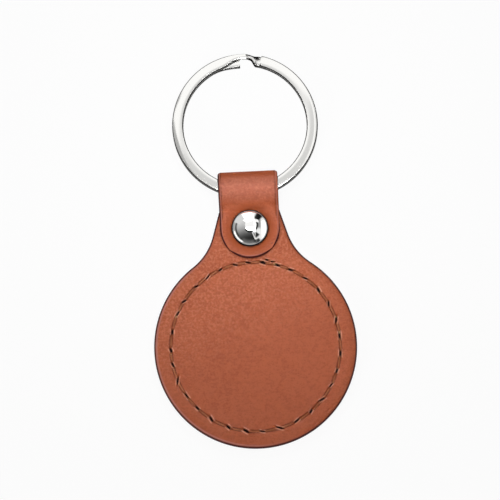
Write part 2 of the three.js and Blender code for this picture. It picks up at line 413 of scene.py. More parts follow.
# outline of disc and neck, as a reach from the disc's middle for each turn from the neck
outline = dict(taper=math.radians(17), fillet=12.5, neckHalf=6.5, columns=36, rimSteps=640)
taper = outline["taper"]
fillet = outline["fillet"]
neckHalf = outline["neckHalf"]
sideOut = Vector((math.cos(taper), math.sin(taper)))
sideUp = Vector((-math.sin(taper), math.cos(taper)))
sideReach = sideOut.dot(Vector((neckHalf, neckTop)))
sideRun = math.sqrt((discRadius + fillet) ** 2 - (sideReach + fillet) ** 2)
filletMiddle = sideOut * (sideReach + fillet) + sideUp * sideRun
filletTurn = turnOf(filletMiddle)
cornerTurn = math.atan2(neckHalf, neckTop)
turns = [math.atan2(x, neckTop) for x in spread(-neckHalf, neckHalf, outline["columns"])]
turns += spread(cornerTurn, fullTurn - cornerTurn, outline["rimSteps"])[1:-1]


def outlineReach(turn, inset=0.0):
    turn = abs(turn)
    if turn >= filletTurn:
        return discRadius - inset
    if turn >= turnOf(filletMiddle - sideOut * (fillet + inset)):
        along = filletMiddle.x * math.sin(turn) + filletMiddle.y * math.cos(turn)
        return along - math.sqrt(along ** 2 - filletMiddle.length_squared + (fillet + inset) ** 2)
    side = (sideReach - inset) / math.sin(turn + taper)
    return min(side, (neckTop - inset) / math.cos(turn))


def newEdge(grown):
    fresh = {g for g in grown if isinstance(g, bmesh.types.BMVert)}
    return [g for g in grown if isinstance(g, bmesh.types.BMEdge) and fresh.issuperset(g.verts)]


# flat sheet: rings grow outwards from the disc's middle
def growSheet(reaches):
    sheet = bmesh.new()
    bmesh.ops.create_circle(sheet, cap_ends=True, cap_tris=True, segments=len(turns), radius=1)
    rim = [v for v in sheet.verts if v.co.length > 0.5]
    rim.sort(key=lambda v: turnOf(v.co) % fullTurn)
    for v, turn in zip(rim, sorted(t % fullTurn for t in turns)):
        v.co = (math.sin(turn), math.cos(turn), 0)
    edge = [e for e in sheet.edges if e.is_boundary]
    for reach in reaches:
        edge = newEdge(bmesh.ops.extrude_edge_only(sheet, edges=edge)["geom"])
        for v in {v for e in edge for v in e.verts}:
            turn = turnOf(v.co)
            v.co = (reach(turn) * math.sin(turn), reach(turn) * math.cos(turn), 0)
    return sheet


def thicken(sheet, depth, spec):
    facesOut(sheet)
    bmesh.ops.solidify(sheet, geom=sheet.faces[:], thickness=depth)
    lowest = min(v.co.z for v in sheet.verts)
    moveAll(sheet, (0, 0, -lowest))
    sheet.normal_update()
    rims = [e for e in sheet.edges if e.calc_face_angle(0) > 1]
    roundOff(sheet, rims, spec["rounding"], spec["segments"])


# seam: needle holes in degrees, counted from the right of the disc
seam = dict(
    inset=3.65,
    holes=(
        4.8, 15.8, 27.8, 39.3, 51.3, 62.8, 72.3, 82.3, 92.3, 101.3, 111.8, 121.8, 131.8,
        144.8, 154.3, 167.3, 179.8, 189.8, 200.8, 212.8, 223.8, 235.8, 248.8, 260.8,
        271.8, 283.8, 296.3, 307.8, 318.8, 330.3, 340.8, 352.8,
    ),
    # the run's end, sewn over its start in shorter stitches
    overlap=((72.3, 0.1), (76.1, 0.5), (79.9, 0.7), (83.4, 0.2)),
    overlapShare=0.55,
    jitter=0.06,  # how unevenly the holes lie, lean and open
    leans=(-34, 20),
    lengths=(0.65, 1.35),
    widths=(0.75, 1.25),
    pulls=(0, 0, 0.25, 0.5, 1),  # how much under thread shows beside them
    trough=0.24,
    troughWidth=0.36,
    lineAt=0.25,  # painted shade: a dark line along each side of the thread
    lineWidth=0.13,
    holeLength=0.72,
    holeWidth=0.2,
    holeDepth=0.9,
    pitEdge=(0.75, 1.15),  # in shares of the hole, as the lip's are
    lip=0.12,
    lipAt=1.9,
    lipWidth=0.6,
    sideAt=1.8,
    sideEnd=(0.7, 1.3),
    crown=0.32,
    puff=0.1,  # the border swells between seam and edge
    puffIn=(0.0, 1.3),
    puffOut=(0.4, 1.8),
    bandReach=2.4,
    holeReach=2.5,
)
seamRadius = discRadius - seam["inset"]
chance = random.Random(11)


def needleHole(angle, shift, share=1.0):
    return dict(
        turn=math.radians(90 - angle),
        reach=seamRadius + shift,
        tilt=math.radians(chance.uniform(*seam["leans"])),
        long=seam["holeLength"] * share * chance.uniform(*seam["lengths"]),
        wide=seam["holeWidth"] * chance.uniform(*seam["widths"]),
        pulled=chance.choice(seam["pulls"]),
        share=share,
    )


needleHoles = [needleHole(a, chance.uniform(-seam["jitter"], seam["jitter"])) for a in seam["holes"]]
overlapHoles = [needleHole(a, shift, seam["overlapShare"]) for a, shift in seam["overlap"]]


def seamRelief(x, y, holes):
    reach = math.hypot(x, y)
    turn = math.atan2(x, y)
    off = reach - seamRadius
    height = seam["crown"] * (1 - smoothStep(0, seamRadius, reach))
    if off > 0:
        margin = outlineReach(turn) - reach
        height += seam["puff"] * smoothStep(*seam["puffIn"], off) * smoothStep(*seam["puffOut"], margin)
    if abs(off) > seam["bandReach"]:
        return height, dict(pitShade=0.0, seam=0.0, lip=0.0)
    height -= seam["trough"] * bell(off, seam["troughWidth"])
    # the seam mark is painted shade beside the thread, left off at the lips
    line = bell(abs(off) - seam["lineAt"], seam["lineWidth"])
    pitShade = 0.0
    lip = 0.0
    for hole in holes:
        along = (turn - hole["turn"] + math.pi) % fullTurn - math.pi
        along *= seamRadius
        if abs(along) > seam["holeReach"]:
            continue
        out = reach - hole["reach"]
        lengthwise = along * math.cos(hole["tilt"]) + out * math.sin(hole["tilt"])
        crosswise = out * math.cos(hole["tilt"]) - along * math.sin(hole["tilt"])
        span = math.hypot(lengthwise / hole["long"], crosswise / hole["wide"])
        raised = seam["lip"] * bell(span - seam["lipAt"], seam["lipWidth"])
        height -= seam["holeDepth"] * math.exp(-(span ** 3)) - raised
        # painted shade fills each needle hole
        pitShade = max(pitShade, 1 - smoothStep(*seam["pitEdge"], span))
        # painted highlight: the puckered sides beside each hole are painted pale
        beside = bell(abs(crosswise) / hole["wide"] - seam["sideAt"], seam["lipWidth"])
        lip = max(lip, beside * (1 - smoothStep(*seam["sideEnd"], abs(lengthwise) / hole["long"])))
    return height, dict(pitShade=pitShade, seam=line * (1 - lip), lip=lip)


# leather of disc and neck, in rings: even to the seam, fine across it, then out to the edge
panel = dict(
    middleRings=(3.5, 7, 10.5, 13.5, 15.6),
    seamBand=(-1.5, 1.6),
    seamSteps=30,
    outerSteps=13,
    support=0.95,
    rounding=0.54,
    segments=6,
    widen=1.5,  # the upper edge is rubbed down wider than it is deep
    widenSlack=0.03,
    grain=0.48,  # painted highlight on the raised grain, towards the upper left
    grainLitFrom=(-6.0, 15.0),
    grainLitLean=0.45,
    worn=0.6,  # painted highlight: the disc's edge is painted pale on the left, towards the side light
    sheenSide=Vector((-0.94, -0.34)),
    sheenTurn=(-0.2, 0.7),
    sheenBand=(0.02, 0.2),
)
seamRings = spread(*[seamRadius + shift for shift in panel["seamBand"]], panel["seamSteps"])
leatherReaches = [lambda turn, r=r: r for r in list(panel["middleRings"]) + seamRings]
for share in spread(0, 1, panel["outerSteps"])[1:]:
    leatherReaches.append(
        lambda turn, s=share: seamRings[-1] + s * (outlineReach(turn, panel["support"]) - seamRings[-1])
    )
leatherReaches.append(outlineReach)
markNames = ("pitShade", "seam", "lip", "rim", "pressed", "paintedSheen", "grain")


def panelEdge(x, y):
    return outlineReach(math.atan2(x, y)) - math.hypot(x, y)


def widenRim(sheet, edgeDistance):
    step = 0.01
    rounding = panel["rounding"]
    for v in sheet.verts:
        x, y, z = v.co
        gap = edgeDistance(x, y)
        if z < hide - rounding + 1e-3 or gap > 2 * rounding:
            continue
        slope = Vector((
            edgeDistance(x + step, y) - edgeDistance(x - step, y),
            edgeDistance(x, y + step) - edgeDistance(x, y - step),
        )) / (2 * step)
        if gap / slope.length < rounding + panel["widenSlack"]:
            shift = slope.normalized() * gap / slope.length * (panel["widen"] - 1)
            v.co = (x + shift.x, y + shift.y, z)


def paintRim(sheet, marks, worn, edgeLit):
    low, high = panel["sheenBand"]
    for v in sheet.verts:
        rim = min(max((hide - v.co.z) / panel["rounding"], 0.0), 1.0)
        # painted light: the edge paint is lightened where the edge is lit
        v[marks["rim"]] = rim * (1 - edgeLit(v.co))
        # a painted highlight in this band of the rim
        if low < rim < high:
            v[marks["paintedSheen"]] = worn(v.co)


def markSeam(v, marks, holes):
    lift, sewn = seamRelief(v.co.x, v.co.y, holes)
    for name, value in sewn.items():
        v[marks[name]] = value
    return lift


def dressEdge(sheet, edgeDistance, worn, edgeLit):
    thicken(sheet, hide, panel)
    widenRim(sheet, edgeDistance)
    marks = {name: sheet.verts.layers.float.new(name) for name in markNames}
    paintRim(sheet, marks, worn, edgeLit)
    return marks


def discSheen(spot):
    return panel["worn"] * smoothStep(*panel["sheenTurn"], spot.xy.normalized().dot(panel["sheenSide"]))


def makeFrontLeather():
    sheet = growSheet(leatherReaches)
    marks = dressEdge(sheet, panelEdge, discSheen, lambda spot: 0.0)
    holes = needleHoles + overlapHoles[1:-1]
    for v in sheet.verts:
        if v.co.z > hide - 1e-4:
            lift = markSeam(v, marks, holes)
            # painted highlight on the grain, stronger towards the upper left
            upLeft = v.co.y - panel["grainLitLean"] * v.co.x
            v[marks["grain"]] = panel["grain"] * smoothStep(*panel["grainLitFrom"], upLeft)
            v.co.z += lift
    moveAll(sheet, (0, discY, frontLow.z))
    facesOut(sheet)
    makePiece(sheet, "front_leather", "fob", leather, ["front_panel"])


makeFrontLeather()


# back leather, with the strap that folds over the ring and ends in the tongue
strap = dict(
    half=6.55,
    slope=math.radians(44),
    bend=3.0,
    rowStep=0.45,
    tipRows=16,
    seamFade=6.0,  # the seam's relief dies out below the strap
    dimple=0.34,  # pressed in round the cap, and round the head on the back
    dimpleReach=2.2,
    headDimple=0.3,
    headReach=0.8,
    dimpleIn=0.2,
    squeezed=0.4,
    capShadow=(-0.05, 0.22),
    pressedFrom=(-60, -20),  # turns round the fold: 0 at its far end, 90 on top
    pressedTo=(62, 34),
    paleFrom=(45, 65),
    paleTo=(125, 175),
    # painted sheen over the bend, and a painted highlight on the strap's cut edges
    paintedSheen=0.22,
    edgeSheen=0.45,
    edgeLitShare=0.72,  # painted light: the dark edge paint is lightened on the right side, down to the cap
    edgeLitTo=(-1.5, 3.0),
)
slopeCos, slopeSin = math.cos(strap["slope"]), math.sin(strap["slope"])
loopStart = swing.y - discY
loopMiddle = swing.z - hide / 2
bendMiddle = strap["bend"] + hide / 2
tongueMiddle = frontHigh.z + glueLine + hide / 2
slopeTop = swing.z + loopMiddle * slopeCos
slopeFoot = tongueMiddle + bendMiddle * (1 - slopeCos)
slopeLength = (slopeTop - slopeFoot) / slopeSin
slopeStart = loopMiddle * (math.pi + strap["slope"])
bendStart = slopeStart + slopeLength
bendEnd = bendStart + bendMiddle * strap["slope"]
bendEndY = loopStart - (loopMiddle + bendMiddle) * slopeSin - slopeLength * slopeCos
rivetRun = loopStart + bendEnd + bendEndY - rivetY  # where the cap sits on the flat strap


def foldStrap(y, lift):
    run = y - loopStart
    if run <= 0:
        return y, hide / 2 - lift
    if run < slopeStart:
        turn = run / loopMiddle - math.pi / 2
        reach = loopMiddle + lift
        return loopStart + reach * math.cos(turn), swing.z + reach * math.sin(turn)
    back = Vector((-slopeCos, -slopeSin))
    out = Vector((-slopeSin, slopeCos))
    top = Vector((loopStart - loopMiddle * slopeSin, slopeTop))
    if run < bendStart:
        spot = top + back * (run - slopeStart) + out * lift
        return spot.x, spot.y
    if run < bendEnd:
        turn = strap["slope"] - (run - bendStart) / bendMiddle
        reach = bendMiddle - lift
        return bendEndY + reach * math.sin(turn), tongueMiddle + bendMiddle - reach * math.cos(turn)
    return bendEndY - (run - bendEnd), tongueMiddle + lift


def onNeckTop(edge):
    return edge.is_boundary and all(abs(v.co.y - neckTop) < 1e-3 for v in edge.verts)


def growStrap(sheet):
    half = strap["half"]
    row = [e for e in sheet.edges if onNeckTop(e)]
    rowCount = round((rivetRun - neckTop) / strap["rowStep"])
    shares = [i / outline["columns"] * 2 - 1 for i in range(outline["columns"] + 1)]

    def nextRow():
        grown = newEdge(bmesh.ops.extrude_edge_only(sheet, edges=row)["geom"])
        across = sorted({v for e in grown for v in e.verts}, key=lambda v: v.co.x)
        return grown, zip(across, shares)

    for y in spread(neckTop, rivetRun, rowCount)[1:]:
        row, across = nextRow()
        for v, share in across:
            v.co = (half * share, y, 0)
    for tip in spread(0, 1, strap["tipRows"])[1:]:
        row, across = nextRow()
        for v, share in across:
            x = half * share * math.sqrt(1 - tip * tip / 2)
            v.co = (x, rivetRun + half * tip * math.sqrt(1 - share * share / 2), 0)


def strapEdge(x, y):
    if y > rivetRun:
        return strap["half"] - math.hypot(x, y - rivetRun)
    return strap["half"] - abs(x) if y > neckTop else panelEdge(x, y)


def strapSheen(spot):
    return strap["edgeSheen"] if spot.y > neckTop else 0.0


# painted light on the strap's right edge
def strapEdgeLit(spot):
    if spot.x < 0 or spot.y < neckTop:
        return 0.0
    low, high = strap["edgeLitTo"]
    return strap["edgeLitShare"] * (1 - smoothStep(rivetRun + low, rivetRun + high, spot.y))


def dimple(reach, edge, depth, width):
    return depth * (1 - smoothStep(edge - strap["dimpleIn"], edge + width, reach))


def makeBackLeather():
    sheet = growSheet(leatherReaches)
    growStrap(sheet)
    marks = dressEdge(sheet, strapEdge, strapSheen, strapEdgeLit)
    shadowIn, shadowOut = strap["capShadow"]
    for v in sheet.verts:
        if v.co.z < hide - 1e-4:
            continue
        lift = 0.0
        if v.co.y < neckTop:
            lift = markSeam(v, marks, needleHoles)
            lift *= smoothStep(0, strap["seamFade"], neckTop - v.co.y)
            lift = min(lift, 0.0)
            toHead = math.hypot(v.co.x, v.co.y - rivetY)
            lift -= dimple(toHead, headRadius, strap["headDimple"], strap["headReach"])
        toCap = math.hypot(v.co.x, v.co.y - rivetRun)
        lift -= dimple(toCap, capRadius, strap["dimple"], strap["dimpleReach"])
        # squeezed leather round the cap and the fold's top band, painted darker in part as shade without sheen
        foldTurn = math.degrees((v.co.y - loopStart) / loopMiddle) - 90
        folded = smoothStep(*strap["pressedTo"], foldTurn) * smoothStep(*strap["pressedFrom"], foldTurn)
        squeezeEnd = capRadius + strap["dimpleReach"]
        squeezed = 1 - smoothStep(capRadius + strap["squeezed"], squeezeEnd, toCap)
        v[marks["pressed"]] = max(folded, squeezed)
        # painted sheen over the bend: paler colour and grain highlights
        pale = smoothStep(*strap["paleFrom"], foldTurn) * (1 - smoothStep(*strap["paleTo"], foldTurn))
        v[marks["paintedSheen"]] = strap["paintedSheen"] * pale
        v[marks["grain"]] = panel["grain"] * pale
        shadow = 1 - smoothStep(capRadius + shadowIn, capRadius + shadowOut, toCap)
        v[marks["pitShade"]] = max(v[marks["pitShade"]], shadow)
        v.co.z += lift
    for v in sheet.verts:
        y, z = foldStrap(v.co.y, v.co.z - hide / 2)
        v.co = (v.co.x, y + discY, z)
    facesOut(sheet)
    makePiece(sheet, "back_leather", "fob", leather, ["back_panel"])


makeBackLeather()


# stiff board between the two leathers
core = dict(middle=12, support=1.0, inset=0.28, rounding=0.2, segments=3)


def makeCore():
    sheet = growSheet([
        lambda turn: core["middle"],
        lambda turn: outlineReach(turn, core["support"]),
        lambda turn: outlineReach(turn, core["inset"]),
    ])
    thicken(sheet, boardHigh.z - boardLow.z + 2 * glueLine, core)
    moveAll(sheet, (0, discY, boardLow.z - glueLine))
    facesOut(sheet)
    makePiece(sheet, "core_board", "fob", board, ["stiffener_board"])


makeCore()


# sewing thread: three strands twisted round the line of stitches
sewing = dict(
    strands=3,
    strandRadius=0.105,
    roundness=2,
    twistRadius=0.095,
    twistPitch=1.1,
    steps=18,
    slant=0.14,
    slantShape=6,
    dip=0.85,
    dipShape=3.2,
    seat=0.2,
    backSeat=0.3,
    sunkFrom=0.8,
    sunkTo=0.4,
    lockAt=0.7,
    lockWidth=0.17,
    lockReach=0.45,
    markReach=2,
    sharp=60,
)


def stitchLine(holes, closed, face, down, seat):
    line = []
    pairs = list(zip(holes, holes[1:] + holes[:1]))
    for start, end in pairs if closed else pairs[:-1]:
        sweep = (end["turn"] - start["turn"] - math.pi) % fullTurn - math.pi
        for i in range(sewing["steps"]):
            share = i / sewing["steps"]
            turn = start["turn"] + sweep * share
            reach = start["reach"] + (end["reach"] - start["reach"]) * share
            toHole = abs(1 - 2 * share)
            reach += sewing["slant"] * (1 - 2 * share) * (1 - toHole ** sewing["slantShape"])
            sink = seat + sewing["dip"] * toHole ** sewing["dipShape"]
            line.append(Vector((reach * math.sin(turn), reach * math.cos(turn), face + down * sink)))
    return line


# painted shade where the thread dips into a hole, pale where the under thread shows
def markHoles(mesh):
    lock = mesh.attributes.new("lock", "FLOAT", "POINT")
    sunkShade = mesh.attributes.new("sunkShade", "FLOAT", "POINT")
    for v, pale, dark in zip(mesh.vertices, lock.data, sunkShade.data):
        turn = turnOf(v.co)
        for hole in needleHoles + overlapHoles:
            if abs(v.co.xy.length - hole["reach"]) > sewing["lockReach"]:
                continue
            past = ((hole["turn"] - turn + math.pi) % fullTurn - math.pi) * seamRadius
            past /= hole["share"]
            if abs(past) < sewing["markReach"]:
                glint = hole["pulled"] * bell(past - sewing["lockAt"], sewing["lockWidth"])
                pale.value = max(pale.value, glint)
                depth = smoothStep(sewing["sunkFrom"], sewing["sunkTo"], abs(past))
                dark.value = max(dark.value, depth)


def twistStrands(name, lines, node):
    curve = bpy.data.curves.new(name, "CURVE")
    curve.dimensions = "3D"
    curve.bevel_depth = sewing["strandRadius"]
    curve.bevel_resolution = sewing["roundness"]
    curve.use_fill_caps = True
    for line, closed in lines:
        lengths = [0.0]
        for a, b in zip(line, line[1:]):
            lengths.append(lengths[-1] + (b - a).length)
        turnsInAll = max(1, round(lengths[-1] / sewing["twistPitch"]))
        for strand in range(sewing["strands"]):
            spline = curve.splines.new("POLY")
            spline.points.add(len(line) - 1)
            spline.use_cyclic_u = closed
            for point, spot, length in zip(spline.points, line, lengths):
                twist = fullTurn * (strand / sewing["strands"] + turnsInAll * length / lengths[-1])
                out = Vector((spot.x, spot.y, 0)).normalized()
                side = out * math.cos(twist) + Vector((0, 0, math.sin(twist)))
                point.co = (*(spot + side * sewing["twistRadius"]), 1)
    holder = addObject(name + "_line", curve)
    bpy.context.view_layer.update()
    solid = holder.evaluated_get(bpy.context.evaluated_depsgraph_get())
    mesh = bpy.data.meshes.new_from_object(solid)
    bpy.data.objects.remove(holder)
    mesh.name = name
    markHoles(mesh)
    mesh.transform(Matrix.Scale(mm, 4) @ Matrix.Translation((0, discY, 0)))
    makeObject(mesh, name, "fob", thread, [node], sewing["sharp"])


def makeThreads():
    top = stitchLine(needleHoles, True, frontHigh.z, -1, sewing["seat"])
    overlap = stitchLine(overlapHoles, False, frontHigh.z, -1, sewing["seat"])
    twistStrands("needle_stitches", [(top, True), (overlap, False)], "needle_thread")
    under = stitchLine(needleHoles, True, 0.0, 1, sewing["backSeat"])
    twistStrands("bobbin_stitches", [(under, True)], "bobbin_thread")


makeThreads()


def profileLine(points):
    shape = bmesh.new()
    verts = [shape.verts.new((reach, 0, height)) for reach, height in points]
    for a, b in zip(verts, verts[1:]):
        shape.edges.new((a, b))
    return shape


# rivet: domed cap on the tongue, broad head on the back
cap = dict(
    lipRadius=0.35,
    lipSteps=8,
    edgeSlope=36.0,
    facets=96,
    domeSteps=24,
    foot=0.02,
    footWidth=0.3,
    hollow=0.3,
    hollowIn=0.5,
    dark=(0.42, 0.2),  # painted reflection: the rolled lip is painted dark from this far inside the edge
    sharp=50,
)


def spinProfile(points, middle):
    shape = profileLine(points)
    bmesh.ops.spin(
        shape,
        geom=shape.verts[:] + shape.edges[:],
        cent=(0, 0, 0),
        axis=(0, 0, 1),
        angle=fullTurn,
        steps=cap["facets"],
        use_merge=True,
    )
    bmesh.ops.remove_doubles(shape, verts=shape.verts, dist=1e-4)
    facesOut(shape)
    moveAll(shape, middle)
    return shape


def arcPoints(middle, radius, start, end, count):
    return [
        (middle[0] + radius * math.cos(a), middle[1] + radius * math.sin(a))
        for a in spread(math.radians(start), math.radians(end), count)
    ]


def makeCap():
    height = capHigh.z - capLow.z
    lip = cap["lipRadius"]
    slope = math.radians(cap["edgeSlope"])
    dome = (capRadius - lip) / math.sin(slope) + lip
    lipLevel = height - dome + (dome - lip) * math.cos(slope)
    points = arcPoints((0, height - dome), dome, 90, 90 - cap["edgeSlope"], cap["domeSteps"])
    points += arcPoints((capRadius - lip, lipLevel), lip, 90 - cap["edgeSlope"], 0, cap["lipSteps"])[1:]
    points += [(capRadius, cap["foot"]), (capRadius - cap["footWidth"], cap["foot"])]
    points += [(capRadius - cap["hollowIn"], cap["hollow"]), (0, cap["hollow"])]
    shape = spinProfile(points, (0, rivetY + discY, capLow.z))
    side = shape.verts.layers.float.new("side")
    darkFrom, darkTo = cap["dark"]
    # painted reflection: a dark band on the rolled lip
    for v in shape.verts:
        reach = math.hypot(v.co.x, v.co.y - rivetY - discY)
        v[side] = smoothStep(capRadius - darkFrom, capRadius - darkTo, reach)
    makePiece(shape, "rivet_dome", "fob", rivetPlating, ["rivet_cap"], cap["sharp"])


makeCap()

head = dict(
    edge=0.2,
    mouth=0.22,
    arcSteps=6,
    thick=0.5,
    dish=0.1,
    dishAt=0.6,
    dishShare=0.4,
    shank=1.5,
    bore=0.9,
    boreDepth=2.6,
    boreTip=0.8,
    boreRounding=0.3,
    sharp=50,
)


def makeHead():
    edge, mouth, bore, shank = [head[name] for name in ("edge", "mouth", "bore", "shank")]
    length = postHigh.z - postLow.z
    points = [(0, head["boreDepth"]), (bore * head["boreTip"], head["boreDepth"])]
    points += [(bore, head["boreDepth"] - head["boreRounding"]), (bore, mouth)]
    points += arcPoints((bore + mouth, mouth), mouth, 180, 270, head["arcSteps"])
    points += [(headRadius * head["dishAt"], head["dish"] * head["dishShare"])]
    points += arcPoints((headRadius - edge, edge + head["dish"]), edge, 270, 360, head["arcSteps"])
    points += [(headRadius, head["thick"]), (shank, head["thick"]), (shank, length), (0, length)]
    shape = spinProfile(points, (0, rivetY + discY, postLow.z))
    makePiece(shape, "rivet_head", "fob", rivetPlating, ["rivet_post"], head["sharp"])


makeHead()

# the socket inside the cap keeps its solid
socket = frame["nodes"]["rivet_socket"]
socket.data.materials.clear()
socket.data.materials.append(rivetPlating)


# split ring: a flat wire spun through two coils, with the step between them
coil = dict(
    width=2.45,
    stack=2.45,  # height of both coils
    gap=0.06,
    crown=0.11,  # the rolled wire is a little convex
    crownCuts=9,
    edge=0.48,
    edgeSegments=5,
    stepsPerTurn=150,
    frontEnd=16.0,  # degrees from the far end, clockwise seen from the front
    stepStart=362.5,
    stepEnd=374.0,
    stepRows=14,
    stepIn=0.35,  # the step also pulls inwards
    neck=0.55,  # and is drawn narrower
    neckIn=(-19.0, -1.0),
    neckOut=(7.0, 13.0),
    tuckFrom=692.0,
    tuck=0.42,  # the back coil's end lies a little inside the front coil
    tuckSteps=16,
    backEnd=718.0,
    endGap=0.5,
    endRounding=0.2,
    endSegments=3,
    dark=(0.21, 0.41),  # painted reflection: sides are painted dark by how far they turn from the face
    darkLean=0.12,
    nearSide=Vector((0.5, -0.87, 0)),
    flat=(0.9, 0.98),  # upright part of a side, painted less dark, most on the far side
    paintedSheen=(0.3, 0.5),
    sheenFacing=(-0.1, 0.4),
    # cut ends, painted dark
    cut=(0.8, 0.95),
    flank=(0.3, 0.5),  # painted reflection: both flanks of the step are painted dark
    flankTurns=(4.5, 14.5),
    flankSoft=1.0,
    flankIn=0.25,
    sharp=45,
)
wireHeight = (coil["stack"] - coil["gap"]) / 2
coilLift = wireHeight / 2 + coil["gap"] / 2


def wireSection():
    half = coil["width"] / 2
    shape = flatGrid((coil["width"], wireHeight - coil["crown"] * 2))
    long = [e for e in shape.edges if abs(e.verts[0].co.y - e.verts[1].co.y) < 1e-6]
    bmesh.ops.subdivide_edges(shape, edges=long, cuts=coil["crownCuts"])
    for v in shape.verts:
        share = 2 * v.co.x / coil["width"]
        v.co.y += math.copysign(coil["crown"] * (1 - share * share), v.co.y)
    corners = [v for v in shape.verts if abs(v.co.x) > half - 1e-4]
    roundOff(shape, corners, coil["edge"], coil["edgeSegments"], "VERTICES")
    upright = Matrix.Rotation(math.pi / 2, 3, "X")
    turnAll(shape, upright)
    moveAll(shape, (ringRadius - half, 0, coilLift))
    start = Matrix.Rotation(math.pi / 2 - math.radians(coil["frontEnd"]), 3, "Z")
    turnAll(shape, start)
    return shape


def wind(shape, geometry, degrees, steps, drop=0):
    turned = bmesh.ops.spin(
        shape,
        geom=geometry,
        cent=(0, 0, 0),
        axis=(0, 0, -1),
        dvec=(0, 0, -drop / steps),
        angle=math.radians(degrees),
        steps=steps,
    )
    return turned["geom_last"]


def windLevel(shape, geometry, degrees):
    return wind(shape, geometry, degrees, round(coil["stepsPerTurn"] * degrees / 360))


def pullIn(shape, geometry, distance):
    ends = [g for g in geometry if isinstance(g, bmesh.types.BMVert)]
    centre = sum((v.co for v in ends), Vector()) / len(ends)
    inwards = -distance * Vector((centre.x, centre.y, 0)).normalized()
    bmesh.ops.translate(shape, vec=inwards, verts=ends)


def windCoils(shape):
    last = shape.faces[:] + shape.edges[:] + shape.verts[:]
    last = windLevel(shape, last, coil["stepStart"] - coil["frontEnd"])
    stepSweep = (coil["stepEnd"] - coil["stepStart"]) / coil["stepRows"]
    shares = spread(0, 1, coil["stepRows"])
    for low, high in zip(shares, shares[1:]):
        drop = 2 * coilLift * (smoothStep(0, 1, high) - smoothStep(0, 1, low))
        last = wind(shape, last, stepSweep, 1, drop)
        pull = math.sin(math.pi * high) ** 2 - math.sin(math.pi * low) ** 2
        pullIn(shape, last, coil["stepIn"] * pull)
    last = windLevel(shape, last, coil["tuckFrom"] - coil["stepEnd"])
    tuckSweep = (coil["backEnd"] - coil["tuckFrom"]) / coil["tuckSteps"]
    shares = spread(0, 1, coil["tuckSteps"])
    for low, high in zip(shares, shares[1:]):
        last = wind(shape, last, tuckSweep, 1)
        pullIn(shape, last, coil["tuck"] * (smoothStep(0, 1, high) - smoothStep(0, 1, low)))
    bmesh.ops.remove_doubles(shape, verts=shape.verts, dist=1e-5)
    facesOut(shape)
    cutEnds = [f for f in shape.faces if len(f.verts) > 4]
    rims = list({e for f in cutEnds for e in f.edges})
    roundOff(shape, rims, coil["endRounding"], coil["endSegments"])
    shape.normal_update()


# the side mark paints the ring's edges, cut ends and step flanks dark: a painted reflection
def markSides(shape):
    side = shape.verts.layers.float.new("side")
    darkFrom, darkTo = coil["dark"]
    sheenLeast, sheenMore = coil["paintedSheen"]
    stepMiddle = ringRadius - coil["width"] / 2 - coil["flankIn"]
    for v in shape.verts:
        out = Vector((v.co.x, v.co.y, 0)).normalized()
        along = Vector((-out.y, out.x, 0))
        sideways = abs(v.normal.dot(out))
        facing = math.copysign(1, v.normal.dot(out)) * out.dot(coil["nearSide"])
        lean = coil["darkLean"] * facing  # painted reflection: sides facing the near side are painted darker
        paintedSheen = sheenLeast + sheenMore * smoothStep(*coil["sheenFacing"], v.normal.y)
        paintedSheen *= smoothStep(*coil["flat"], sideways)
        inStep = within(*coil["flankTurns"], coil["flankSoft"], math.degrees(turnOf(v.co)))
        offMiddle = abs(v.co.xy.length - stepMiddle) / coil["width"] * 2
        v[side] = max(
            smoothStep(darkFrom - lean, darkTo - lean, sideways) * (1 - paintedSheen),
            smoothStep(*coil["cut"], abs(v.normal.dot(along))),
            inStep * smoothStep(*coil["flank"], offMiddle),
        )


# the front coil and the step narrow towards the kink, and the back end doesn't
def drawNeck(shape):
    pastBackEnd = coil["backEnd"] - 720 + coil["endGap"]
    for v in shape.verts:
        turn = math.degrees(turnOf(v.co))
        if v.co.z > 0 or turn > pastBackEnd:
            reach = v.co.xy.length
            drawn = smoothStep(*coil["neckIn"], turn) * (1 - smoothStep(*coil["neckOut"], turn))
            grow = 1 + coil["neck"] * drawn * (ringRadius - reach) / reach
            v.co = (v.co.x * grow, v.co.y * grow, v.co.z)


def makeRing():
    middle = mounts["key_ring"]
    tilt = math.atan2(swing.z - middle.z, middle.y - swing.y)
    shape = wireSection()
    windCoils(shape)
    markSides(shape)
    drawNeck(shape)
    turnAll(shape, Matrix.Rotation(-tilt, 3, "X"))
    moveAll(shape, middle)
    makePiece(shape, "key_coil", "key_ring", ringPlating, ["split_ring"], coil["sharp"])


makeRing()


# camera, high on the near side and turned a little
shot = dict(
    distance=700,
    field=109.35,
    rise=math.radians(6),
    roll=math.radians(2.75),
    middle=(-0.215, -0.12),
    lens=140,
    clip=(0.01, 20),
)
toEye = Vector((0, -math.sin(shot["rise"]), math.cos(shot["rise"])))


def makeCamera():
    eye = bpy.data.cameras.new("shot")
    eye.lens = shot["lens"]
    eye.sensor_width = shot["lens"] * shot["field"] / shot["distance"]
    eye.clip_start, eye.clip_end = shot["clip"]
    holder = addObject("shot", eye)
    holder.location = (Vector((*shot["middle"], frontHigh.z)) + toEye * shot["distance"]) * mm
    turn = Matrix.Rotation(shot["rise"], 3, "X") @ Matrix.Rotation(-shot["roll"], 3, "Z")
    holder.rotation_euler = turn.to_euler()
    bpy.context.scene.camera = holder


makeCamera()


# table, sky and two soft lights, in metres
studio = dict(
    tableSize=3.0,
    tableDrop=0.00003,
    tableGlow=0.94,
    paper=dict(dark=(0.86, 0.86, 0.86, 1), light=(0.88, 0.88, 0.88, 1), grain=40.0),
    skyLevel=0.19,
    panel=dict(place=(0, 0.03, 0.095), aim=(0, 0.03, 0), size=0.06, power=0.057),
    fill=dict(place=(-0.5, -0.62, 0.35), aim=(0, 0, 0), size=0.38, power=2.7),
)
white = (1, 1, 1, 1)


